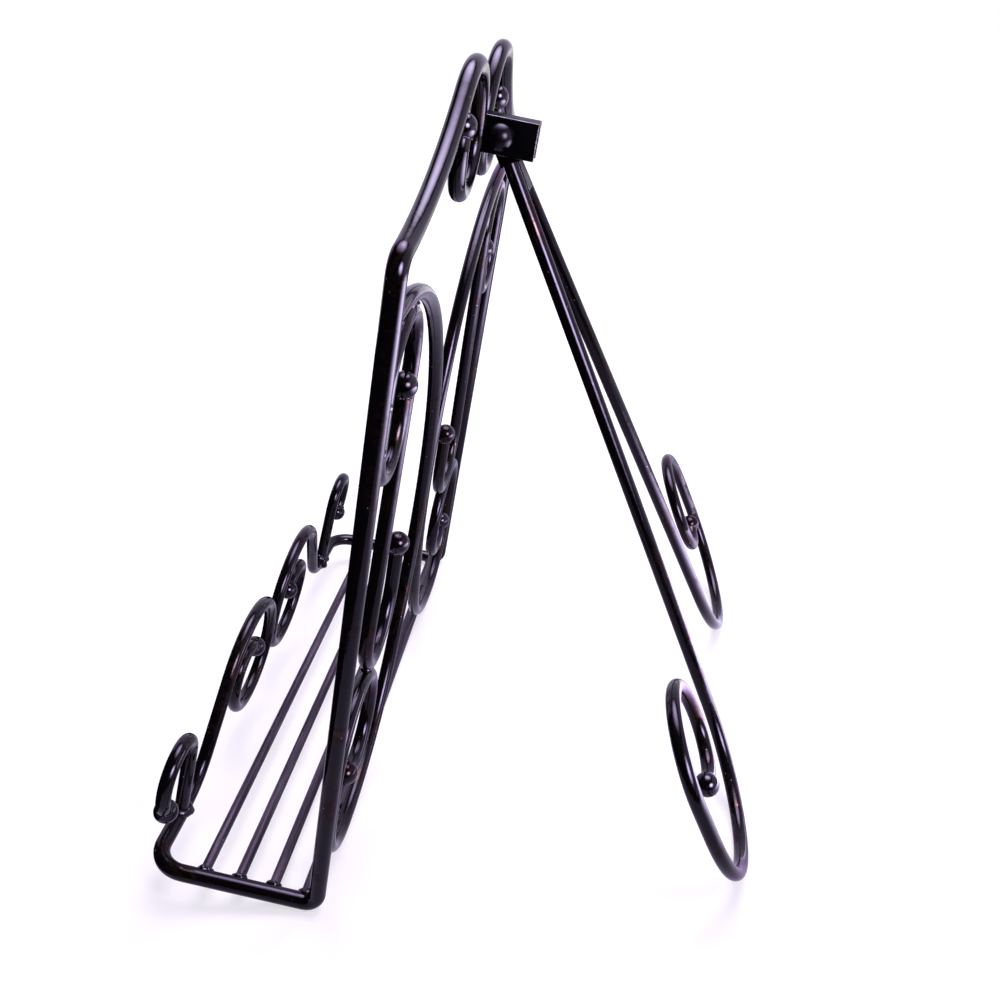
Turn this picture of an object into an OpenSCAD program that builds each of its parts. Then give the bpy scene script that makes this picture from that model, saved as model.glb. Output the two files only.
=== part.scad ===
// Cookbook stand of bent round steel rod: a scrollwork back frame that leans on two folding legs,
// with a barred shelf, a scrolled lip that keeps the book from sliding, and a ball on every scroll end.
// Millimetres, +Z up. The origin lies under the middle of the frame's foot; the book side faces -Y.

/* [Rods and balls] */
// Rod of the side rods: shelf edge, upright and crest
frame_rod = 6.4; // [5.6:0.1:8]
// Rod of the bottom rail between the side rods
rail_rod = 6; // [4:0.1:6.4]
// Rod of the panel scrolls, lip scrolls, end stops and legs
scroll_rod = 5.6; // [4.4:0.1:6.4]
// Rod of the shelf bars
bar_rod = 4; // [3:0.1:5]
// Ball on the end of each scroll
ball_d = 9.2; // [8:0.1:11]

/* [Back frame] */
// Width between the centre lines of the uprights
frame_w = 258; // [246:1:276]
// Height up the frame where the upright and the shoulder would meet
frame_h = 250.5; // [241:0.5:271]
// Lean of the back frame from upright, degrees
lean = 12.5; // [8:0.5:15]
// Bend radius at the foot of each upright
heel_r = 5; // [4:0.5:7]
// Bend radius at the top of each upright
shoulder_bend_r = 6; // [4:0.5:10]
// Turn at the top of each upright, degrees
shoulder_bend = 80; // [74:1:84]

/* [Crest] */
// Height of the crest above the shoulders
crest_rise = 41; // [37:0.5:46]
// Radius of the crest
crest_r = 26; // [24:0.5:29]
// Radius of the loop under the crest
crest_loop_r = 17.5; // [15:0.5:19]
// Radius of the last curl inside the loop
crest_curl_r = 11.5; // [10.5:0.5:13]
// Turn of the last curl, degrees
crest_curl_turn = 12; // [5:1:60]

/* [Long scrolls] */
// Drop of the arch below the shoulders
arch_drop = 17; // [14:0.5:22]
// Height of the waist, where the two long scrolls touch
waist_h = 119; // [108:0.5:130]
// Lean of the straight flank below the waist, degrees
flank_lean = 24; // [19:0.5:28]
// Radius of the turn from the bottom rail to the upright
hip_r = 34; // [31:0.5:38]
// Height of the eye of the scroll
eye_h = 51.5; // [46:0.5:58]
// Radius of the eye
eye_r = 27; // [24:0.5:29]
// Radius of the curl inside the eye
eye_curl_r = 17.5; // [15:0.5:19]
// Turn of the curl inside the eye, degrees
eye_curl_turn = 132; // [100:1:150]

/* [S scrolls] */
// Radius of the upper curl
upper_curl_r = 20.5; // [18:0.5:23]
// Straight stretch of the upper curl along the upright
upper_drop = 15; // [11:0.5:19]
// Straight rise of the free upper end
upper_rise = 3; // [1:0.5:8]
// Gap between the ball in the upper curl and the strand beside it
upper_ball_gap = 0.5; // [0.3:0.1:4]
// Radius of the lower curl
lower_curl_r = 21; // [18:0.5:24]
// Distance of the lower curl from the eye towards the middle
lower_shift = 22; // [17:0.5:28]
// Straight rise of the free lower end
lower_rise = 12; // [8:0.5:18]

/* [Shelf] */
// Depth of the shelf from the frame to the lip
shelf_depth = 64.5; // [58:0.5:80]
// Bend radius at the front corners
corner_r = 12; // [9:0.5:16]
// First shelf bar from the frame
bar_first = 17.7; // [14:0.1:20]
// Pitch of the shelf bars
bar_pitch = 13.5; // [11:0.1:15]

/* [Lip] */
// Lean of the lip back towards the frame, degrees
lip_lean = 5; // [0:0.5:10]
// Length of each lip scroll, from the middle to the end of the side rod
lip_w = 98; // [90:0.5:104]
// Height of the lip scrolls above the shelf
lip_h = 54.5; // [50:0.5:59]
// Steepness of the straight rise, degrees
lip_steep = 58.5; // [54:0.5:63]
// Radius of the rise from the front edge
lip_rise_r = 24; // [20:0.5:27]
// Radius of the loop under the lip crest
lip_loop_r = 22.5; // [20:0.5:24]
// Radius of the last curl
lip_curl_r = 12; // [10.5:0.5:14]
// Turn of the last curl, degrees
lip_curl_turn = 130; // [105:1:150]

/* [End stops] */
// Gap between each end stop and the end of the lip scroll
stop_gap = 0.3; // [0.1:0.1:3]
// Height of the end stop's top
stop_h = 47; // [43:0.5:52]
// Radius of its crook
stop_r = 12.5; // [11:0.5:14]
// Straight fall behind the crook
stop_drop = 2; // [0.5:0.5:5]
// Radius of its last curl
stop_curl_r = 12; // [10:0.5:15]
// Turn of its last curl, degrees
stop_curl_turn = 35; // [25:1:50]

/* [Hinge] */
// Width of the bracket across its cheeks
bracket_w = 10; // [9:0.2:12]
// Length of the bracket from front to back
bracket_l = 23; // [20:0.5:27]
// Reach of the bracket in front of the frame's middle plane
bracket_front = 1; // [0:0.5:2.5]
// Sheet of the bracket
bracket_t = 1.6; // [1.2:0.1:2]
// Height of the bracket above the pin
bracket_above = 7; // [6.6:0.1:9]
// Depth of the cheeks below the pin
bracket_below = 6.4; // [5:0.1:7.5]
// Diameter of the hinge pin
pin_d = 4; // [3:0.1:4.6]
// Diameter of the pin's dome heads
pin_head_d = 10.4; // [8:0.1:10.6]
// Gap between the dome heads and the crests
pin_head_gap = 0.3; // [0.1:0.1:1]
// Height of the dome heads
pin_head_h = 4; // [2.5:0.1:4.5]
// Running clearance of the tongue on the pin, on the radius
pin_clearance = 0.05; // [0.02:0.01:0.1]
// Clearance of the tongue to each cheek
cheek_clearance = 0.3; // [0.2:0.05:0.5]
// Clearance of the tongue under the bracket's top when the legs are open
stop_clearance = 0.2; // [0.1:0.05:0.4]
// Width of the tongue from front to back
tongue_w = 8.8; // [8:0.1:9.4]
// Length of the wide part of the tongue below the pin
tongue_l = 10.5; // [9.5:0.5:13]
// Length of the wedge along the leg rods
wedge_l = 11; // [7:0.5:17]

/* [Legs] */
// Angle between the legs and the back frame when open, degrees
leg_angle = 32.7; // [29:0.1:36]
// Gap between the leg rods' ends and the bracket's cheeks when the legs are open
leg_gap = 0.5; // [0.3:0.1:4]
// Distance of each foot's lowest point from the middle
foot_x = 82; // [74:0.5:92]
// Radius of the foot
foot_r = 42.5; // [39:0.5:46]
// Straight outer side of the foot
foot_side = 15; // [10:0.5:20]
// Radius of the curl on top of the foot
foot_curl_r = 26; // [23:0.5:28]
// Radius of the last curl inside the foot
foot_inner_r = 16; // [14:0.5:18]
// Turn of the last curl, degrees
foot_inner_turn = 116; // [100:1:124]

/* [Hidden] */
$fn = 48;
finish = [0.11, 0.095, 0.09];
half_w = frame_w / 2;
frame_rad = frame_rod / 2;
scroll_rad = scroll_rod / 2;
// Straight rod inside a ball and just outside it
ball_seat = ball_d / 2 + 0.4;
// Loss of diameter of a rod where it is bent, and the lap of a bend into the rod beside it
draw_down = 0.02;
bend_lap = 0.05;

// Foot of the frame: the lowest point of the heel bend, where the bottom rail runs
rail_y = heel_r * (sin(lean) - 1);
rail_s = heel_r * (1 - cos(lean));
lift = frame_rad - heel_r * (sin(lean) + cos(lean) - 1);

// Crest of each side rod, from the shoulder bend to the inner strand beside the hinge bracket
crest_x = bracket_w / 2 + frame_rad + crest_r;
crest_s = frame_h + crest_rise - crest_r;
bend_start_s = frame_h - shoulder_bend_r * tan(shoulder_bend / 2);
bend_end = [half_w - shoulder_bend_r * (1 - cos(shoulder_bend)),
            bend_start_s + shoulder_bend_r * sin(shoulder_bend)];
to_shoulder = [cos(shoulder_bend), sin(shoulder_bend)];
crest_to_bend = bend_end - [crest_x, crest_s];
shoulder_r = (crest_to_bend * crest_to_bend - crest_r ^ 2) / (2 * (crest_r - crest_to_bend * to_shoulder));
shoulder_to_crest = [crest_x, crest_s] - bend_end - shoulder_r * to_shoulder;
shoulder_end = 360 + atan2(shoulder_to_crest[1], shoulder_to_crest[0]);
shoulder_turn = shoulder_bend + 180 - shoulder_end;

// Each rod is a list of steps: feed straight, twist about the rod, then bend to the left
// at a radius through an angle. A negative angle bends to the right.
stub_l = half_w - corner_r - lip_w;
side_bends = [
    [stub_l, 0, corner_r, 90],
    [shelf_depth - corner_r - heel_r, 90, heel_r, 90],
    [bend_start_s - heel_r, -90, shoulder_bend_r, shoulder_bend],
    [0, 0, shoulder_r, -shoulder_turn],
    [0, 0, crest_r, 360 - shoulder_end],
    [0, 0, crest_loop_r, 180],
    [0, 0, crest_curl_r, crest_curl_turn],
    [ball_seat, 0, 0, 0],
];

// Long scroll: arch, straight flank, belly and hip follow one another without a corner. The arch touches
// its mirror image at the waist, the belly stands on the bottom rail and the hip runs up the upright.
wall_x = half_w - frame_rad - scroll_rad;
arch_s = waist_h;
arch_r = frame_h - arch_drop - waist_h;
arch_x = scroll_rad + arch_r;
arch_start = acos((half_w - arch_x) / arch_r);
flank_out = [-cos(flank_lean), -sin(flank_lean)];
flank_down = [sin(flank_lean), -cos(flank_lean)];
belly_x = wall_x - hip_r;
belly_foot = rail_s + sqrt((rail_rod / 2 + scroll_rad) ^ 2 - rail_y ^ 2);
belly_r = (arch_r + ([arch_x, arch_s] - [belly_x, belly_foot]) * flank_out) / (1 - sin(flank_lean));
flank_l = ([belly_x, belly_foot + belly_r] - [arch_x, arch_s]) * flank_down;
long_bends = [
    [0, 0, arch_r, 180 + flank_lean - arch_start],
    [flank_l, 0, belly_r, 90 - flank_lean],
    [0, 0, hip_r, 90],
    [eye_h - belly_foot - hip_r, 0, eye_r, 180],
    [0, 0, eye_curl_r, eye_curl_turn],
    [ball_seat, 0, 0, 0],
];

// S scroll: the upper curl sits between the upright and the arch, and the lower curl on the eye
upper_x = wall_x - upper_curl_r;
upper_s = arch_s + sqrt((arch_r - upper_curl_r - scroll_rod) ^ 2 - (upper_x - arch_x) ^ 2);
eye_x = wall_x - eye_r;
lower_x = eye_x - lower_shift;
lower_s = eye_h + sqrt((lower_curl_r + eye_r + scroll_rod) ^ 2 - lower_shift ^ 2);
curls_apart = norm([upper_x - lower_x, upper_s - lower_s]);
strand_side = atan2(upper_s - lower_s, upper_x - lower_x) - acos((upper_curl_r + lower_curl_r) / curls_apart);
strand_l = sqrt(curls_apart ^ 2 - (upper_curl_r + lower_curl_r) ^ 2);
upper_inner_r = (upper_curl_r * (1 + cos(strand_side)) + (upper_rise + ball_seat - upper_drop) * sin(strand_side)
    - ball_d / 2 - scroll_rad - upper_ball_gap) / (2 * cos(strand_side));
s_bends = [
    [ball_seat, 0, 0, 0],
    [lower_rise, 0, lower_curl_r, 180 + strand_side],
    [strand_l, 0, upper_curl_r, -180 - strand_side],
    [upper_drop, 0, upper_inner_r, -180],
    [upper_rise + ball_seat, 0, 0, 0],
];

// Lip scroll: it goes on from the end of the side rod, and its inner strand meets its mirror image
lip_crest_r = ((lip_w - scroll_rad) * sin(lip_steep) - lip_h * cos(lip_steep)
    - lip_rise_r * (1 - cos(lip_steep))) / (1 + sin(lip_steep) - cos(lip_steep));
crest_to_rise = [lip_w - scroll_rad - lip_crest_r, lip_rise_r - lip_h + lip_crest_r];
rise_l = crest_to_rise * [cos(lip_steep), -sin(lip_steep)];
lip_bends = [
    [0, 0, lip_rise_r, -lip_steep],
    [rise_l, 0, lip_crest_r, 90 + lip_steep],
    [0, 0, lip_loop_r, 180],
    [0, 0, lip_curl_r, lip_curl_turn],
    [ball_seat, 0, 0, 0],
];

// End stop: a crook that stands on the front of the side rod and curls outward
stop_x = lip_w + stop_gap + scroll_rad;
stop_bends = [
    [stop_h - stop_r, 0, stop_r, -180],
    [stop_drop, 0, stop_curl_r, -stop_curl_turn],
    [ball_seat, 0, 0, 0],
];

// Hinge and legs: the feet reach down to the table, and the legs run straight from foot to tongue
pin_s = crest_s;
pin_back = frame_rad + pin_head_gap + pin_head_d / 2;
bracket_inner_w = bracket_w - 2 * bracket_t;
tongue_t = bracket_inner_w - 2 * cheek_clearance;
tongue_top = (bracket_above - bracket_t - stop_clearance - tongue_w / 2 * sin(leg_angle)) / cos(leg_angle);
pin_z = lift - pin_back * sin(lean) + pin_s * cos(lean);
foot_l = (pin_z - scroll_rad) / cos(leg_angle - lean);
leg_x = tongue_t / 2 + scroll_rad;
leg_start = (bracket_below + leg_gap + scroll_rad * sin(leg_angle)) / cos(leg_angle);
leg_to_foot = [foot_x - leg_x, leg_start + foot_r - foot_l];
leg_l = sqrt(leg_to_foot * leg_to_foot - foot_r ^ 2);
leg_heading = atan2(leg_to_foot[1], leg_to_foot[0]) - atan2(foot_r, leg_l);
leg_splay = 90 + leg_heading;
leg_bends = [
    [leg_l, 0, foot_r, 90 - leg_heading],
    [foot_side, 0, foot_curl_r, 180],
    [0, 0, foot_inner_r, foot_inner_turn],
    [ball_seat, 0, 0, 0],
];

// Carries children past one step of a bent rod
module past_step(step) {
    centre = [0, step[3] < 0 ? -step[2] : step[2], 0];
    translate([step[0], 0, 0])
        rotate([step[1], 0, 0])
            translate(centre)
                rotate([0, 0, step[3]])
                    translate(-centre)
                        children();
}

// Carries children to the end of a bent rod
module past_bends(bends, i = 0) {
    if (i < len(bends))
        past_step(bends[i]) past_bends(bends, i + 1) children();
    else
        children();
}

// Round rod that starts at the origin along +X and follows its bends. A bend is drawn down a little,
// two bends that follow one another by one and by two parts, and each bend laps into its neighbours.
module bent_rod(bends, d, i = 0) {
    if (i < len(bends)) {
        step = bends[i];
        if (step[0] > 0)
            rotate([0, 90, 0])
                cylinder(d = d, h = step[0]);
        if (step[3] != 0) {
            lap_after = bend_lap / step[2] * 180 / PI;
            lap_before = i > 0 || step[0] > 0 ? lap_after : 0;
            translate([step[0], 0, 0])
                rotate([step[1], 0, 0])
                    translate([0, step[3] < 0 ? -step[2] : step[2], 0])
                        rotate([0, 0, step[3] < 0 ? 90 + step[3] - lap_after : -90 - lap_before])
                            rotate_extrude(angle = abs(step[3]) + lap_before + lap_after)
                                translate([step[2], 0])
                                    circle(d = d - draw_down * (1 + i % 2));
        }
        past_step(step) bent_rod(bends, d, i + 1);
    }
}

// Ball round the end of a rod that arrives along +X
module end_ball(rod_d) {
    rotate([0, 90, 0])
        difference() {
            sphere(d = ball_d);
            translate([0, 0, -ball_d])
                cylinder(d = rod_d, h = ball_d);
        }
}

// The frame's own plane: X across, Z up the frame, Y towards the legs
module on_frame() {
    translate([0, 0, lift])
        rotate([-lean, 0, 0])
            children();
}

// Right half for side 1, its mirror image for side -1
module on_side(side) {
    mirror([side < 0 ? 1 : 0, 0, 0])
        children();
}

// Start of a rod that is bent in an upright plane, at x across and s up, headed at an angle
module start_at(x, s, heading) {
    translate([x, 0, s])
        rotate([90, 0, 0])
            rotate([0, 0, heading])
                children();
}

module at_side_start(side) {
    on_frame() on_side(side)
        translate([lip_w, -shelf_depth, 0])
            children();
}

module at_long_start(side) {
    on_frame() on_side(side)
        start_at(half_w, arch_s + arch_r * sin(arch_start), arch_start + 90)
            children();
}

module at_s_start(side) {
    on_frame() on_side(side)
        start_at(lower_x - lower_curl_r, lower_s + lower_rise + ball_seat, -90)
            children();
}

module on_lip(side) {
    on_frame() on_side(side)
        translate([0, -shelf_depth, 0])
            rotate([-lip_lean, 0, 0])
                children();
}

module at_lip_start(side) {
    on_lip(side)
        start_at(lip_w, 0, 180)
            children();
}

module at_stop_start(side) {
    on_lip(side)
        start_at(stop_x, 0, 90)
            children();
}

// Centre of the hinge pin, with X along the pin
module at_pin() {
    on_frame()
        translate([0, pin_back, pin_s])
            children();
}

// The plane of the open legs, from the pin down
module on_legs() {
    at_pin()
        rotate([leg_angle, 0, 0])
            children();
}

module at_leg_start(side) {
    on_legs() on_side(side)
        start_at(leg_x, -leg_start, leg_heading)
            children();
}

// One rod bent into the shelf edge, the upright and the crest
module side_rod(side) {
    color(finish)
        at_side_start(side)
            bent_rod(side_bends, frame_rod);
}

// Straight rods along the side rods, to cope what is welded to them
module along_upright(side) {
    on_frame() on_side(side)
        translate([half_w, 0, heel_r])
            cylinder(d = frame_rod, h = frame_h - heel_r);
}

module along_shelf_edge(side) {
    on_frame() on_side(side)
        translate([half_w, 0, 0])
            rotate([90, 0, 0])
                cylinder(d = frame_rod, h = shelf_depth);
}

// Rod from shelf edge to shelf edge under the frame, coped to the heel bends
module bottom_rail() {
    color(finish)
        difference() {
            on_frame()
                translate([-half_w, rail_y, rail_s])
                    rotate([0, 90, 0])
                        cylinder(d = rail_rod, h = frame_w);
            for (side = [-1, 1])
                at_side_start(side) bent_rod([side_bends[0], side_bends[1]], frame_rod);
        }
}

// Large scroll of each half of the panel, coped to the upright where it starts
module long_scroll(side) {
    color(finish)
        difference() {
            at_long_start(side) bent_rod(long_bends, scroll_rod);
            along_upright(side);
        }
}

// S-shaped scroll between the long scroll and the upright
module s_scroll(side) {
    color(finish)
        at_s_start(side)
            bent_rod(s_bends, scroll_rod);
}

// Thin rod from shelf edge to shelf edge, counted from the frame
module shelf_bar(number) {
    color(finish)
        difference() {
            on_frame()
                translate([-half_w, -bar_first - number * bar_pitch, 0])
                    rotate([0, 90, 0])
                        cylinder(d = bar_rod, h = frame_w);
            for (side = [-1, 1])
                along_shelf_edge(side);
        }
}

module lip_scroll(side) {
    color(finish)
        at_lip_start(side)
            bent_rod(lip_bends, scroll_rod);
}

// Crook welded upright on the straight end of the side rod
module end_stop(side) {
    color(finish)
        difference() {
            at_stop_start(side) bent_rod(stop_bends, scroll_rod);
            at_side_start(side)
                rotate([0, 90, 0])
                    cylinder(d = frame_rod, h = stub_l);
        }
}

// Sheet channel between the two crests, open below and at both ends, drilled for the pin
module hinge_bracket() {
    height = bracket_above + bracket_below;
    color(finish)
        at_pin()
            difference() {
                translate([-bracket_w / 2, -pin_back - bracket_front, -bracket_below])
                    cube([bracket_w, bracket_l, height]);
                translate([-bracket_inner_w / 2, -pin_back - bracket_front - 1, -bracket_below - bracket_t])
                    cube([bracket_inner_w, bracket_l + 2, height]);
                translate([-bracket_w, 0, 0])
                    rotate([0, 90, 0])
                        cylinder(d = pin_d, h = 2 * bracket_w);
            }
}

// Rivet with a dome head on each cheek
module hinge_pin() {
    dome_r = ((pin_head_d / 2) ^ 2 + pin_head_h ^ 2) / (2 * pin_head_h);
    color(finish)
        at_pin() {
            translate([-bracket_w / 2, 0, 0])
                rotate([0, 90, 0])
                    cylinder(d = pin_d, h = bracket_w);
            for (turn = [0, 180])
                rotate([0, 0, turn])
                    intersection() {
                        translate([bracket_w / 2 + pin_head_h - dome_r, 0, 0])
                            rotate([0, 90, 0])
                                sphere(r = dome_r);
                        translate([bracket_w / 2, -pin_head_d, -pin_head_d])
                            cube(2 * pin_head_d);
                    }
        }
}

// Flat tongue that turns on the pin, with a wedge below that the legs are welded to
module leg_tongue() {
    wedge_top = leg_x - scroll_rad / cos(leg_splay) + (tongue_l - leg_start) * tan(leg_splay);
    wedge_end = tongue_l + wedge_l;
    wedge_foot = wedge_top + wedge_l * tan(leg_splay);
    color(finish)
        on_legs()
            difference() {
                union() {
                    translate([-tongue_t / 2, -tongue_w / 2, -tongue_l])
                        cube([tongue_t, tongue_w, tongue_l + tongue_top]);
                    translate([0, scroll_rad, 0])
                        rotate([90, 0, 0])
                            linear_extrude(scroll_rod)
                                polygon([
                                    [-wedge_top, -tongue_l],
                                    [-wedge_foot, -wedge_end],
                                    [wedge_foot, -wedge_end],
                                    [wedge_top, -tongue_l],
                                ]);
                }
                translate([-tongue_t, 0, 0])
                    rotate([0, 90, 0])
                        cylinder(r = pin_d / 2 + pin_clearance, h = 2 * tongue_t);
            }
}

// Leg that ends in a scrolled foot
module leg(side) {
    color(finish)
        at_leg_start(side)
            bent_rod(leg_bends, scroll_rod);
}

// Balls on the scroll ends
module crest_ball(side) {
    color(finish) at_side_start(side) past_bends(side_bends) end_ball(frame_rod);
}

module eye_ball(side) {
    color(finish) at_long_start(side) past_bends(long_bends) end_ball(scroll_rod);
}

module upper_s_ball(side) {
    color(finish) at_s_start(side) past_bends(s_bends) end_ball(scroll_rod);
}

module lower_s_ball(side) {
    color(finish) at_s_start(side) rotate([0, 0, 180]) end_ball(scroll_rod);
}

module lip_ball(side) {
    color(finish) at_lip_start(side) past_bends(lip_bends) end_ball(scroll_rod);
}

module stop_ball(side) {
    color(finish) at_stop_start(side) past_bends(stop_bends) end_ball(scroll_rod);
}

module foot_ball(side) {
    color(finish) at_leg_start(side) past_bends(leg_bends) end_ball(scroll_rod);
}

side_rod(-1);  // left_side_rod
side_rod(1);  // right_side_rod
bottom_rail();
long_scroll(-1);  // left_long_scroll
long_scroll(1);  // right_long_scroll
s_scroll(-1);  // left_s_scroll
s_scroll(1);  // right_s_scroll
shelf_bar(0);  // rear_shelf_bar
shelf_bar(1);  // middle_shelf_bar
shelf_bar(2);  // front_shelf_bar
lip_scroll(-1);  // left_lip_scroll
lip_scroll(1);  // right_lip_scroll
end_stop(-1);  // left_end_stop
end_stop(1);  // right_end_stop
hinge_bracket();
hinge_pin();
leg_tongue();
leg(-1);  // left_leg
leg(1);  // right_leg
crest_ball(-1);  // left_crest_ball
crest_ball(1);  // right_crest_ball
eye_ball(-1);  // left_eye_ball
eye_ball(1);  // right_eye_ball
upper_s_ball(-1);  // left_upper_s_ball
upper_s_ball(1);  // right_upper_s_ball
lower_s_ball(-1);  // left_lower_s_ball
lower_s_ball(1);  // right_lower_s_ball
lip_ball(-1);  // left_lip_ball
lip_ball(1);  // right_lip_ball
stop_ball(-1);  // left_stop_ball
stop_ball(1);  // right_stop_ball
foot_ball(-1);  // left_foot_ball
foot_ball(1);  // right_foot_ball
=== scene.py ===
"""Looks of a folding cookbook stand: black bronze lacquer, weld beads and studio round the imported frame."""
import math

import bmesh
import bpy
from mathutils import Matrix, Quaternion, Vector
from mathutils.bvhtree import BVHTree


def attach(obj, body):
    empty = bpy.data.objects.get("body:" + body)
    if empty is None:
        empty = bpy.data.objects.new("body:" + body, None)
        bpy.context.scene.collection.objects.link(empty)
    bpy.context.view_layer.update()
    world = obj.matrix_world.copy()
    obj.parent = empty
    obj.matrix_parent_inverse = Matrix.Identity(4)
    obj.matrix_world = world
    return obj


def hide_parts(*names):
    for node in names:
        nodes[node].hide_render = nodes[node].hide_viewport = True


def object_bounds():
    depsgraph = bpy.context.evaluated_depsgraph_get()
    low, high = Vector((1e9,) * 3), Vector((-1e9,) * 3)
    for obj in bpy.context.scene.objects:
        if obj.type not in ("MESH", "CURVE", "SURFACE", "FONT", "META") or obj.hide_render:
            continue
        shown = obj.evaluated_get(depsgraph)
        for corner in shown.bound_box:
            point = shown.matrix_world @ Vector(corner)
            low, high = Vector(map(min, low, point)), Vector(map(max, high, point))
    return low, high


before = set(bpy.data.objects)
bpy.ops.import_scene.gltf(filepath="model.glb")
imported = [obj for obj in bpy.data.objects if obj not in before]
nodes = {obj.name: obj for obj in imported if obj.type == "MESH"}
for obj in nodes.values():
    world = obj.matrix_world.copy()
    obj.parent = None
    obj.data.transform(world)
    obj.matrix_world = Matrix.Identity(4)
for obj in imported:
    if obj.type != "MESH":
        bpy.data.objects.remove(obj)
cad_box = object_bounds()


# Rods: round steel, a quarter inch thick in the frame and a little thinner in the scrolls, the lip and the
# legs, bent cold and then dipped in a near-black bronze lacquer. It is glossy, with brown rubs where it wore
# thin, shallow dents and specks of dust.
SIDES = ("left", "right")
ROD_PIECES = ("side_rod", "long_scroll", "s_scroll", "lip_scroll", "end_stop", "leg")
ROD_BLACK = (0.0030, 0.0024, 0.0030)
ROD_BROWN = (0.085, 0.056, 0.048)
ROD_GLOSS = (0.06, 0.18)
ROD_SHINE = 0.28
ROD_WEAR = (0.54, 0.78)
BARE_METAL = 0.95
BARE_AT = 0.3
LACQUER_TINT = (0.93, 0.79, 1.0, 1.0)
DUST = (0.30, 0.28, 0.30)
DUST_PER_METRE = 320.0
DUST_SPECK = (0.10, 0.05)
DUST_PATCH = (0.52, 0.60)
GLOSS_PATCH = (0.3, 0.7)
DENT_DEPTH = 0.0005
DENT_STRENGTH = 0.22
SKIN_DEPTH = 0.00006
SKIN_STRENGTH = 0.10
# Each noise gives its scale in cycles per metre, its detail and its roughness.
RUB_NOISE = (48.0, 7.0, 0.66)
DUST_NOISE = (95.0, 2.0, 0.5)
GLOSS_NOISE = (150.0, 4.0, 0.6)
DENT_NOISE = (130.0, 3.0, 0.5)
SKIN_NOISE = (1100.0, 3.0, 0.6)


def lacquer(name, black, brown, gloss, shine=ROD_SHINE, dents=1.0, metal=BARE_METAL, wear=ROD_WEAR,
            stretch=(1.0, 1.0, 1.0)):
    """Lacquered steel. gloss is the smoothest and the dullest roughness, wear the noise levels where a brown
    rub starts and where it is full, and stretch scales the pattern along x, y and z."""
    material = bpy.data.materials.new(name)
    material.use_nodes = True
    tree = material.node_tree
    shader = tree.nodes["Principled BSDF"]
    shader.inputs["Specular IOR Level"].default_value = shine
    shader.inputs["Specular Tint"].default_value = LACQUER_TINT
    place = tree.nodes.new("ShaderNodeTexCoord")
    grain = tree.nodes.new("ShaderNodeMapping")
    grain.inputs["Scale"].default_value = stretch
    tree.links.new(place.outputs["Object"], grain.inputs["Vector"])

    def noise(scale, detail, roughness):
        texture = tree.nodes.new("ShaderNodeTexNoise")
        texture.inputs["Scale"].default_value = scale
        texture.inputs["Detail"].default_value = detail
        texture.inputs["Roughness"].default_value = roughness
        tree.links.new(grain.outputs["Vector"], texture.inputs["Vector"])
        return texture.outputs["Fac"]

    def span(value, low, high, to_low=0.0, to_high=1.0):
        reach = tree.nodes.new("ShaderNodeMapRange")
        reach.inputs["From Min"].default_value = low
        reach.inputs["From Max"].default_value = high
        reach.inputs["To Min"].default_value = to_low
        reach.inputs["To Max"].default_value = to_high
        tree.links.new(value, reach.inputs["Value"])
        return reach.outputs["Result"]

    def blend(share, first, second):
        # Sockets 6 and 7 of a colour mix are its two colours, and output 2 is the result.
        mix = tree.nodes.new("ShaderNodeMix")
        mix.data_type = "RGBA"
        tree.links.new(share, mix.inputs["Factor"])
        for socket, colour in ((mix.inputs[6], first), (mix.inputs[7], second)):
            if isinstance(colour, tuple):
                socket.default_value = (*colour, 1.0)
            else:
                tree.links.new(colour, socket)
        return mix.outputs[2]

    def relief(depth, strength, height):
        bump = tree.nodes.new("ShaderNodeBump")
        bump.inputs["Distance"].default_value = depth
        bump.inputs["Strength"].default_value = strength
        tree.links.new(height, bump.inputs["Height"])
        return bump

    rubs = span(noise(*RUB_NOISE), *wear)
    specks = tree.nodes.new("ShaderNodeTexVoronoi")
    specks.inputs["Scale"].default_value = DUST_PER_METRE
    tree.links.new(place.outputs["Object"], specks.inputs["Vector"])
    dust = span(specks.outputs["Distance"], *DUST_SPECK)
    sparse = span(noise(*DUST_NOISE), *DUST_PATCH)
    dusty = tree.nodes.new("ShaderNodeMath")
    dusty.operation = "MULTIPLY"
    tree.links.new(dust, dusty.inputs[0])
    tree.links.new(sparse, dusty.inputs[1])
    colour = blend(rubs, black, brown)
    tree.links.new(blend(dusty.outputs[0], colour, DUST), shader.inputs["Base Color"])
    tree.links.new(span(rubs, 0.0, BARE_AT, 0.0, metal), shader.inputs["Metallic"])
    tree.links.new(span(noise(*GLOSS_NOISE), *GLOSS_PATCH, *gloss), shader.inputs["Roughness"])
    hollows = relief(DENT_DEPTH * dents, DENT_STRENGTH, noise(*DENT_NOISE))
    skin = relief(SKIN_DEPTH, SKIN_STRENGTH, noise(*SKIN_NOISE))
    tree.links.new(hollows.outputs["Normal"], skin.inputs["Normal"])
    tree.links.new(skin.outputs["Normal"], shader.inputs["Normal"])
    return material


def paint(names, material):
    """Puts a finish on CAD nodes."""
    for name in names:
        nodes[name].material_slots[0].material = material


def both(*names):
    """The left and the right node of each name."""
    return [f"{side}_{name}" for name in names for side in SIDES]


rod_lacquer = lacquer("rod_lacquer", ROD_BLACK, ROD_BROWN, ROD_GLOSS)
paint(both(*ROD_PIECES), rod_lacquer)


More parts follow.
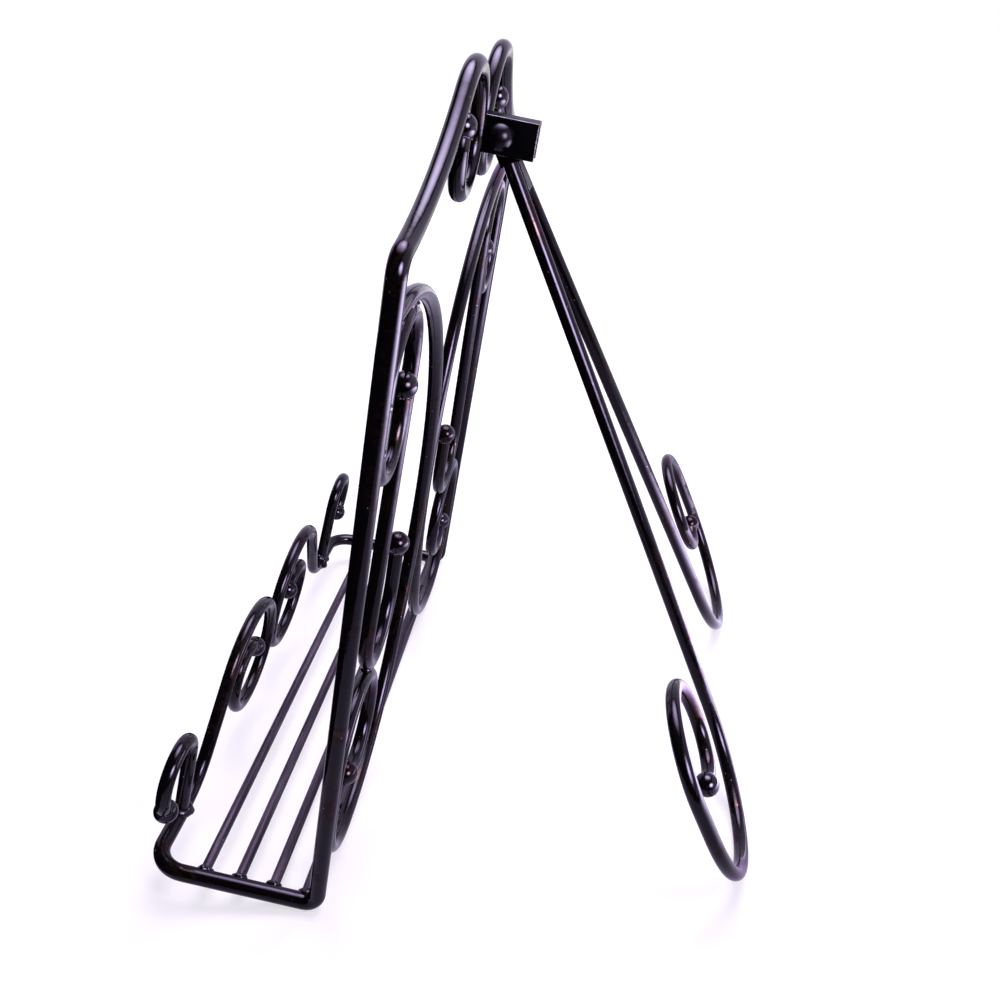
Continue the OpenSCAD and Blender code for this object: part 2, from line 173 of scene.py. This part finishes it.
# Shelf bars and bottom rail: thin rods welded in flat across the stand. Books rub on them, so their
# lacquer is duller, with a streaky grain along the rod.
SHELF_BARS = ("rear_shelf_bar", "middle_shelf_bar", "front_shelf_bar")
BAR_BLACK = (0.013, 0.008, 0.014)
BAR_WORN = (0.152, 0.116, 0.160)
BAR_GLOSS = (0.34, 0.55)
BAR_DENTS = 0.5
BAR_METAL = 0.3
BAR_WEAR = (0.44, 0.72)
BAR_GRAIN = (0.4, 11.0, 11.0)
bar_lacquer = lacquer("bar_lacquer", BAR_BLACK, BAR_WORN, BAR_GLOSS, dents=BAR_DENTS, metal=BAR_METAL,
                      wear=BAR_WEAR, stretch=BAR_GRAIN)
paint([*SHELF_BARS, "bottom_rail"], bar_lacquer)


# Balls: turned steel balls welded on the end of every scroll. The lacquer pools on them, so they are
# the shiniest pieces, with fainter rubs and hardly a dent.
BALL_BROWN = (0.050, 0.032, 0.028)
BALL_GLOSS = (0.08, 0.14)
BALL_SHINE = 0.44
BALL_DENTS = 0.4
ball_lacquer = lacquer("ball_lacquer", ROD_BLACK, BALL_BROWN, BALL_GLOSS, BALL_SHINE, BALL_DENTS)
paint(both("crest_ball", "eye_ball", "upper_s_ball", "lower_s_ball", "lip_ball", "stop_ball", "foot_ball"),
      ball_lacquer)


# Hinge: a folded sheet bracket between the crests, a dome-headed rivet through it, and the tongue that
# swings on the rivet. All three are blacker than the rods. The bracket's and the tongue's edges are softly
# broken, and along them the lacquer is worn off to a light grey. That grey is partly wear and partly a
# painted highlight that draws the thin bright lines on those edges.
HINGE_BLACK = (0.0016, 0.0014, 0.0016)
HINGE_BROWN = (0.006, 0.004, 0.004)
HINGE_GLOSS = (0.28, 0.40)
HINGE_SHINE = 0.04
HINGE_DENTS = 0.3
# The light grey of the edges is partly bare metal where the lacquer wore off and partly a painted highlight.
EDGE_WORN_HIGHLIGHT = (0.42, 0.39, 0.44)
EDGE_GLOSS = (0.20, 0.34)
EDGE_SHINE = 0.6
EDGE_DENTS = 0.4
EDGE_WEAR_HIGHLIGHT = (0.34, 0.62)
EDGE_WIDTH = 0.0004
EDGE_STEPS = 3
EDGE_SHARP = math.radians(50)
SHEET_FLAT = math.radians(1)
SAME_POINT = 1e-6
WORN_HIGHLIGHT_SLOT = 1
PIN_GLOSS = (0.22, 0.32)
PIN_SHINE = 0.22
PIN_DENTS = 0.5
hinge_lacquer = lacquer("hinge_lacquer", HINGE_BLACK, HINGE_BROWN, HINGE_GLOSS, HINGE_SHINE, HINGE_DENTS)
# Finish of the rounded edges: partly worn lacquer, partly a painted highlight in a light grey.
hinge_worn_highlight = lacquer("hinge_worn_highlight", HINGE_BROWN, EDGE_WORN_HIGHLIGHT, EDGE_GLOSS, EDGE_SHINE, EDGE_DENTS,
                     wear=EDGE_WEAR_HIGHLIGHT)
pin_lacquer = lacquer("pin_lacquer", HINGE_BLACK, HINGE_BROWN, PIN_GLOSS, PIN_SHINE, PIN_DENTS)
paint(["hinge_pin"], pin_lacquer)


def broken_edges(node, body):
    """Puts a copy whose sharp edges are rounded over in the place of a sheet or bar node."""
    shape = bmesh.new()
    shape.from_mesh(nodes[node].data)
    bmesh.ops.remove_doubles(shape, verts=shape.verts, dist=SAME_POINT)
    bmesh.ops.dissolve_limit(shape, angle_limit=SHEET_FLAT, verts=shape.verts, edges=shape.edges)
    mesh = bpy.data.meshes.new(node + "_dressed")
    shape.to_mesh(mesh)
    shape.free()
    piece = bpy.data.objects.new(node + "_dressed", mesh)
    bpy.context.scene.collection.objects.link(piece)
    mesh.materials.append(hinge_lacquer)
    mesh.materials.append(hinge_worn_highlight)
    edges = piece.modifiers.new("edges", "BEVEL")
    edges.width = EDGE_WIDTH
    edges.segments = EDGE_STEPS
    # The rounded edges take the light grey finish, which is partly wear and partly a painted highlight.
    edges.material = WORN_HIGHLIGHT_SLOT
    edges.limit_method = "ANGLE"
    edges.angle_limit = EDGE_SHARP
    edges.harden_normals = True
    mesh.shade_smooth()
    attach(piece, body)
    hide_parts(node)


broken_edges("hinge_bracket", "stand")
broken_edges("leg_tongue", "legs")


# Welds: short beads of weld metal wherever two rods meet, and a thin collar under every ball. They are
# lumpy, so they glint, and the lacquer is thin on them.
WELD_BROWN = (0.150, 0.110, 0.110)
WELD_GLOSS = (0.10, 0.32)
WELD_SHINE = 0.40
WELD_DENTS = 2.4
WELD_REACH = 0.00035
WELD_STEP = 0.0009
ROD_BEAD = 0.0021
STOP_BEAD = 0.0018
BAR_BEAD = 0.0014
COLLAR_BEAD = 0.0006
BEAD_VOXEL = 0.0004
BEAD_LUMPS = 0.0005
BEAD_GROWTH = (0.75, 1.15)
BEAD_SEED = 4
RIPPLES_PER_METRE = 650.0
NOISE_MIDDLE = 0.5
# A long scroll meets its side rod low down, and again above this height, in its arch, where only a thin line
# of weld shows.
ARCH_FOOT = 0.15
weld_lacquer = lacquer("weld_lacquer", ROD_BLACK, WELD_BROWN, WELD_GLOSS, WELD_SHINE, WELD_DENTS)


def touching(first, second, low=0.0, high=1.0):
    """Points between two heights where two nodes touch, no two of them closer than the step of a bead."""
    found = []
    for rod, carrier in ((first, second), (second, first)):
        mesh = nodes[carrier].data
        faces = BVHTree.FromPolygons([v.co for v in mesh.vertices], [p.vertices for p in mesh.polygons])
        for vertex in nodes[rod].data.vertices:
            hit = faces.find_nearest(vertex.co, WELD_REACH)[0]
            if hit is None or not low < hit.z < high:
                continue
            if all((hit - other).length > WELD_STEP for other in found):
                found.append(hit)
    return found


def weld_tree():
    """Node tree that runs the points of each weld together into one lumpy bead."""
    tree = bpy.data.node_groups.new("weld_beads", "GeometryNodeTree")
    tree.interface.new_socket("Geometry", in_out="INPUT", socket_type="NodeSocketGeometry")
    for name in ("Voxel", "Lumps"):
        tree.interface.new_socket(name, in_out="INPUT", socket_type="NodeSocketFloat")
    tree.interface.new_socket("Geometry", in_out="OUTPUT", socket_type="NodeSocketGeometry")
    start = tree.nodes.new("NodeGroupInput")
    end = tree.nodes.new("NodeGroupOutput")

    # The points, each about as large as its bead. Sockets 2 and 3 of a random value are its least and
    # greatest number, and output 1 is the number.
    radius = tree.nodes.new("GeometryNodeInputNamedAttribute")
    radius.data_type = "FLOAT"
    radius.inputs["Name"].default_value = "bead"
    uneven = tree.nodes.new("FunctionNodeRandomValue")
    uneven.inputs[2].default_value = BEAD_GROWTH[0]
    uneven.inputs[3].default_value = BEAD_GROWTH[1]
    uneven.inputs["Seed"].default_value = BEAD_SEED
    grow = tree.nodes.new("ShaderNodeMath")
    grow.operation = "MULTIPLY"
    tree.links.new(radius.outputs["Attribute"], grow.inputs[0])
    tree.links.new(uneven.outputs[1], grow.inputs[1])
    points = tree.nodes.new("GeometryNodeMeshToPoints")
    tree.links.new(start.outputs["Geometry"], points.inputs["Mesh"])
    tree.links.new(grow.outputs[0], points.inputs["Radius"])

    # One skin round the points that run together.
    size = tree.nodes.new("GeometryNodeInputRadius")
    melt = tree.nodes.new("GeometryNodePointsToVolume")
    melt.resolution_mode = "VOXEL_SIZE"
    tree.links.new(points.outputs["Points"], melt.inputs["Points"])
    tree.links.new(start.outputs["Voxel"], melt.inputs["Voxel Size"])
    tree.links.new(size.outputs["Radius"], melt.inputs["Radius"])
    skin = tree.nodes.new("GeometryNodeVolumeToMesh")
    skin.resolution_mode = "VOXEL_SIZE"
    tree.links.new(melt.outputs["Volume"], skin.inputs["Volume"])
    tree.links.new(start.outputs["Voxel"], skin.inputs["Voxel Size"])

    # Lumps, in and out along the normal.
    normal = tree.nodes.new("GeometryNodeInputNormal")
    ripple = tree.nodes.new("ShaderNodeTexNoise")
    ripple.inputs["Scale"].default_value = RIPPLES_PER_METRE
    level = tree.nodes.new("ShaderNodeMath")
    level.operation = "SUBTRACT"
    level.inputs[1].default_value = NOISE_MIDDLE
    tree.links.new(ripple.outputs["Fac"], level.inputs[0])
    height = tree.nodes.new("ShaderNodeMath")
    height.operation = "MULTIPLY"
    tree.links.new(level.outputs[0], height.inputs[0])
    tree.links.new(start.outputs["Lumps"], height.inputs[1])
    push = tree.nodes.new("ShaderNodeVectorMath")
    push.operation = "SCALE"
    tree.links.new(normal.outputs["Normal"], push.inputs[0])
    tree.links.new(height.outputs[0], push.inputs["Scale"])
    move = tree.nodes.new("GeometryNodeSetPosition")
    tree.links.new(skin.outputs["Mesh"], move.inputs["Geometry"])
    tree.links.new(push.outputs["Vector"], move.inputs["Offset"])

    smooth = tree.nodes.new("GeometryNodeSetShadeSmooth")
    tree.links.new(move.outputs["Geometry"], smooth.inputs["Geometry"])
    whole = tree.nodes.new("GeometryNodeRealizeInstances")
    tree.links.new(smooth.outputs["Geometry"], whole.inputs["Geometry"])
    coat = tree.nodes.new("GeometryNodeSetMaterial")
    coat.inputs["Material"].default_value = weld_lacquer
    tree.links.new(whole.outputs["Geometry"], coat.inputs["Geometry"])
    tree.links.new(coat.outputs["Geometry"], end.inputs["Geometry"])
    return tree


def weld(name, body, joints):
    """One mesh of all the beads on a body. joints lists the points of each weld and the bead's radius.
    The beads are kept inside the box of the CAD model."""
    places = []
    radii = []
    for points, bead in joints:
        reach = BEAD_GROWTH[1] * bead + BEAD_LUMPS
        for point in points:
            places.append([min(max(value, low + reach), high - reach)
                           for value, low, high in zip(point, *cad_box)])
            radii.append(bead)
    seed = bpy.data.meshes.new(name + "_points")
    seed.from_pydata(places, [], [])
    seed.attributes.new("bead", "FLOAT", "POINT").data.foreach_set("value", radii)
    source = bpy.data.objects.new(name + "_points", seed)
    bpy.context.scene.collection.objects.link(source)
    run = source.modifiers.new("beads", "NODES")
    run.node_group = weld_beads
    inputs = {item.name: item.identifier
              for item in weld_beads.interface.items_tree if item.in_out == "INPUT"}
    run[inputs["Voxel"]] = BEAD_VOXEL
    run[inputs["Lumps"]] = BEAD_LUMPS
    bpy.context.view_layer.update()
    ready = source.evaluated_get(bpy.context.evaluated_depsgraph_get())
    piece = bpy.data.objects.new(name, bpy.data.meshes.new_from_object(ready))
    bpy.context.scene.collection.objects.link(piece)
    bpy.data.objects.remove(source)
    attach(piece, body)


weld_beads = weld_tree()
frame_joints = [(touching("left_long_scroll", "right_long_scroll"), ROD_BEAD),
                (touching("left_lip_scroll", "right_lip_scroll"), ROD_BEAD)]
leg_joints = []
for side in SIDES:
    rod, long_scroll, s_scroll, lip_scroll, end_stop, leg = (f"{side}_{piece}" for piece in ROD_PIECES)
    frame_joints += [(touching(long_scroll, rod, high=ARCH_FOOT), ROD_BEAD),
                     (touching(long_scroll, rod, low=ARCH_FOOT), COLLAR_BEAD)]
    for first, second in ((long_scroll, "bottom_rail"), (s_scroll, long_scroll), (s_scroll, rod)):
        frame_joints.append((touching(first, second), ROD_BEAD))
    for piece in (lip_scroll, end_stop):
        frame_joints.append((touching(piece, rod), STOP_BEAD))
    for piece in ("bottom_rail", "hinge_bracket", *SHELF_BARS):
        frame_joints.append((touching(piece, rod), BAR_BEAD))
    for ball, carrier in (("crest", rod), ("eye", long_scroll), ("upper_s", s_scroll), ("lower_s", s_scroll),
                          ("lip", lip_scroll), ("stop", end_stop)):
        frame_joints.append((touching(f"{side}_{ball}_ball", carrier), COLLAR_BEAD))
    leg_joints += [(touching(leg, "leg_tongue"), BAR_BEAD),
                   (touching(f"{side}_foot_ball", leg), COLLAR_BEAD)]
weld("frame_welds", "stand", frame_joints)
weld("leg_welds", "legs", leg_joints)


# Floor and backdrop: a plain white sheet that runs out of sight under and behind the stand. It takes a soft
# shadow, and it looks white to the camera and in reflections without throwing that white on the stand.
FLOOR_REACH = 4.0
FLOOR_COLOUR = (0.44, 0.39, 0.49, 1.0)
FLOOR_ROUGHNESS = 0.9
FLOOR_WHITE = (1.0, 0.99, 1.0, 1.0)
# The white is weaker under the stand, where the lamps reach the floor, than further out.
FLOOR_FADE = (0.15, 0.9)
FLOOR_GLOW = (0.64, 1.0)
FLAT = [(0, 1, 2, 3)]
LAVENDER = (0.79, 0.72, 1.0)
WORLD_LIGHT = 0.25
WORLD_SEEN = 1.0


def seen_directly(tree):
    """1 for rays from the camera and for reflections, which see the white, and 0 for the light it throws."""
    ray = tree.nodes.new("ShaderNodeLightPath")
    share = ray.outputs["Is Camera Ray"]
    for kind in ("Is Glossy Ray", "Is Transmission Ray"):
        either = tree.nodes.new("ShaderNodeMath")
        either.operation = "MAXIMUM"
        tree.links.new(share, either.inputs[0])
        tree.links.new(ray.outputs[kind], either.inputs[1])
        share = either.outputs[0]
    return share


floor_mesh = bpy.data.meshes.new("floor")
floor_corners = [(x * FLOOR_REACH, y * FLOOR_REACH, 0.0) for x, y in ((-1, -1), (1, -1), (1, 1), (-1, 1))]
floor_mesh.from_pydata(floor_corners, [], FLAT)
floor = bpy.data.objects.new("floor", floor_mesh)
bpy.context.scene.collection.objects.link(floor)
floor_white = bpy.data.materials.new("floor_white")
floor_white.use_nodes = True
floor_tree = floor_white.node_tree
floor_shader = floor_tree.nodes["Principled BSDF"]
floor_shader.inputs["Base Color"].default_value = FLOOR_COLOUR
floor_shader.inputs["Roughness"].default_value = FLOOR_ROUGHNESS
floor_shader.inputs["Emission Color"].default_value = FLOOR_WHITE
floor_place = floor_tree.nodes.new("ShaderNodeTexCoord")
floor_far = floor_tree.nodes.new("ShaderNodeVectorMath")
floor_far.operation = "LENGTH"
floor_tree.links.new(floor_place.outputs["Object"], floor_far.inputs[0])
floor_fade = floor_tree.nodes.new("ShaderNodeMapRange")
floor_fade.interpolation_type = "SMOOTHSTEP"
floor_fade.inputs["From Min"].default_value = FLOOR_FADE[0]
floor_fade.inputs["From Max"].default_value = FLOOR_FADE[1]
floor_fade.inputs["To Min"].default_value = FLOOR_GLOW[0]
floor_fade.inputs["To Max"].default_value = FLOOR_GLOW[1]
floor_tree.links.new(floor_far.outputs["Value"], floor_fade.inputs["Value"])
floor_glow = floor_tree.nodes.new("ShaderNodeMath")
floor_glow.operation = "MULTIPLY"
floor_tree.links.new(floor_fade.outputs["Result"], floor_glow.inputs[0])
floor_tree.links.new(seen_directly(floor_tree), floor_glow.inputs[1])
floor_tree.links.new(floor_glow.outputs[0], floor_shader.inputs["Emission Strength"])
floor_mesh.materials.append(floor_white)

world = bpy.data.worlds.new("studio")
bpy.context.scene.world = world
world.use_nodes = True
world_tree = world.node_tree
backdrop = world_tree.nodes["Background"]
world_white = world_tree.nodes.new("ShaderNodeMix")
world_white.data_type = "RGBA"
world_white.inputs[6].default_value = (*LAVENDER, 1.0)
world_white.inputs[7].default_value = (1.0, 1.0, 1.0, 1.0)
world_camera = world_tree.nodes.new("ShaderNodeLightPath")
world_tree.links.new(world_camera.outputs["Is Camera Ray"], world_white.inputs["Factor"])
world_tree.links.new(world_white.outputs[2], backdrop.inputs["Color"])
world_level = world_tree.nodes.new("ShaderNodeMapRange")
world_level.inputs["To Min"].default_value = WORLD_LIGHT
world_level.inputs["To Max"].default_value = WORLD_SEEN
world_tree.links.new(seen_directly(world_tree), world_level.inputs["Value"])
world_tree.links.new(world_level.outputs["Result"], backdrop.inputs["Strength"])


# Lamps and cards: three square softboxes, almost white, light the stand from above and from behind. What
# the lacquer mirrors is drawn by cards instead: a dark one round the camera keeps the near faces of the rods
# black, and soft bright ones make the lines of light along them and the spots on the balls.
STAND_MIDDLE = Vector((0.0, 0.04, 0.13))
LAMP_WHITE = (0.97, 0.95, 1.0)
CARD_LIFT = 0.001
# The bright card on the floor, seen from above.
LIT_LEFT = -0.7
LIT_RIGHT = 0.30
LIT_FRONT = -0.09
LIT_BACK = 0.8
LIT_MIDDLE = (-0.04, 0.44, CARD_LIFT)
# The dark card: the floor to the right of the bright one and in front of it, two walls and a ceiling.
DARK_LEFT = -1.2
DARK_RIGHT = 1.1
DARK_FRONT = -1.2
DARK_BACK = 1.2
DARK_TOP = 1.3
DARK_WALL_END = -0.6
SKY_HEIGHT = 0.97
SKY_EDGES = ((-0.85, -0.4), (0.35, -0.4), (0.35, 0.8), (-0.85, 0.8))
SKY_MIDDLE = (-0.25, 0.20, SKY_HEIGHT)
WINDOW_CORNERS = [(0.37, 0.84, 0.78), (0.87, 0.40, 0.78), (0.83, 0.36, 0.12), (0.33, 0.80, 0.12)]
WINDOW_MIDDLE = (0.60, 0.60, 0.45)


def softbox(name, place, size, power):
    """Square area lamp aimed at the middle of the stand. The soft cards stand for it in reflections."""
    light = bpy.data.lights.new(name, "AREA")
    light.size = size
    light.energy = power
    light.color = LAMP_WHITE
    lamp = bpy.data.objects.new(name, light)
    lamp.location = place
    lamp.rotation_euler = (STAND_MIDDLE - Vector(place)).to_track_quat("-Z", "Y").to_euler()
    lamp.visible_glossy = False
    bpy.context.scene.collection.objects.link(lamp)


def card(name, corners, faces, glow, middle=(0.0, 0.0, 0.0), reach=0.0, edge=0.0):
    """Card that shows only in reflections. With a reach, its glow fades to edge that far from its middle."""
    mesh = bpy.data.meshes.new(name)
    mesh.from_pydata(corners, [], faces)
    piece = bpy.data.objects.new(name, mesh)
    bpy.context.scene.collection.objects.link(piece)
    piece.visible_camera = False
    piece.visible_diffuse = False
    piece.visible_shadow = False
    finish = bpy.data.materials.new(name)
    finish.use_nodes = True
    tree = finish.node_tree
    shader = tree.nodes["Principled BSDF"]
    shader.inputs["Base Color"].default_value = (0.0, 0.0, 0.0, 1.0)
    shader.inputs["Specular IOR Level"].default_value = 0.0
    shader.inputs["Emission Color"].default_value = (*LAVENDER, 1.0)
    shader.inputs["Emission Strength"].default_value = glow
    if reach:
        place = tree.nodes.new("ShaderNodeTexCoord")
        away = tree.nodes.new("ShaderNodeVectorMath")
        away.operation = "DISTANCE"
        away.inputs[1].default_value = middle
        tree.links.new(place.outputs["Object"], away.inputs[0])
        fade = tree.nodes.new("ShaderNodeMapRange")
        fade.interpolation_type = "SMOOTHSTEP"
        fade.inputs["From Max"].default_value = reach
        fade.inputs["To Min"].default_value = glow
        fade.inputs["To Max"].default_value = edge
        tree.links.new(away.outputs["Value"], fade.inputs["Value"])
        tree.links.new(fade.outputs["Result"], shader.inputs["Emission Strength"])
    mesh.materials.append(finish)


softbox("overhead", (-0.25, 0.20, 0.95), size=0.62, power=10.0)
softbox("back_light", (-0.75, 0.70, 0.50), size=0.40, power=2.7)
softbox("window", (0.42, 0.62, 0.80), size=0.18, power=2.3)

dark_floor = [(LIT_RIGHT, LIT_FRONT), (LIT_RIGHT, DARK_BACK), (DARK_RIGHT, DARK_BACK),
              (DARK_RIGHT, DARK_FRONT), (DARK_WALL_END, DARK_FRONT), (DARK_WALL_END, LIT_FRONT)]
dark_ceiling = [(DARK_RIGHT, DARK_BACK), (DARK_RIGHT, DARK_FRONT), (DARK_LEFT, DARK_FRONT),
                (DARK_LEFT, DARK_BACK), (DARK_WALL_END, DARK_FRONT)]
dark_corners = [(x, y, CARD_LIFT) for x, y in dark_floor] + [(x, y, DARK_TOP) for x, y in dark_ceiling]
dark_faces = [(0, 1, 2, 3, 4, 5), (2, 6, 7, 3), (3, 7, 10, 4), (6, 9, 8, 7)]
card("dark_card", dark_corners, dark_faces, glow=0.01)
lit_floor = [(LIT_LEFT, LIT_FRONT), (LIT_RIGHT, LIT_FRONT), (LIT_RIGHT, LIT_BACK), (LIT_LEFT, LIT_BACK)]
card("floor_card", [(x, y, CARD_LIFT) for x, y in lit_floor], FLAT, glow=22.0, middle=LIT_MIDDLE,
     reach=0.32, edge=0.7)
card("sky_card", [(x, y, SKY_HEIGHT) for x, y in SKY_EDGES], FLAT, glow=20.0, middle=SKY_MIDDLE, reach=0.58)
card("window_card", WINDOW_CORNERS, FLAT, glow=50.0, middle=WINDOW_MIDDLE, reach=0.34)


# Camera: beyond the right end of the stand, a little above its top, looking down along it and tipped a
# little to one side.
CAMERA_PLACE = Vector((0.3984, 0.1195, 0.3146))
CAMERA_AIM = Vector((0.0022, 0.0587, 0.1102))
CAMERA_ROLL = math.radians(-2.9)
camera_data = bpy.data.cameras.new("camera")
camera_data.sensor_width = 36.0
camera_data.lens = 37.6
camera = bpy.data.objects.new("camera", camera_data)
camera.location = CAMERA_PLACE
level_look = (CAMERA_AIM - CAMERA_PLACE).to_track_quat("-Z", "Y")
camera.rotation_euler = (level_look @ Quaternion((0.0, 0.0, 1.0), CAMERA_ROLL)).to_euler()
bpy.context.scene.collection.objects.link(camera)
bpy.context.scene.camera = camera
bpy.context.scene.view_settings.view_transform = "Standard"
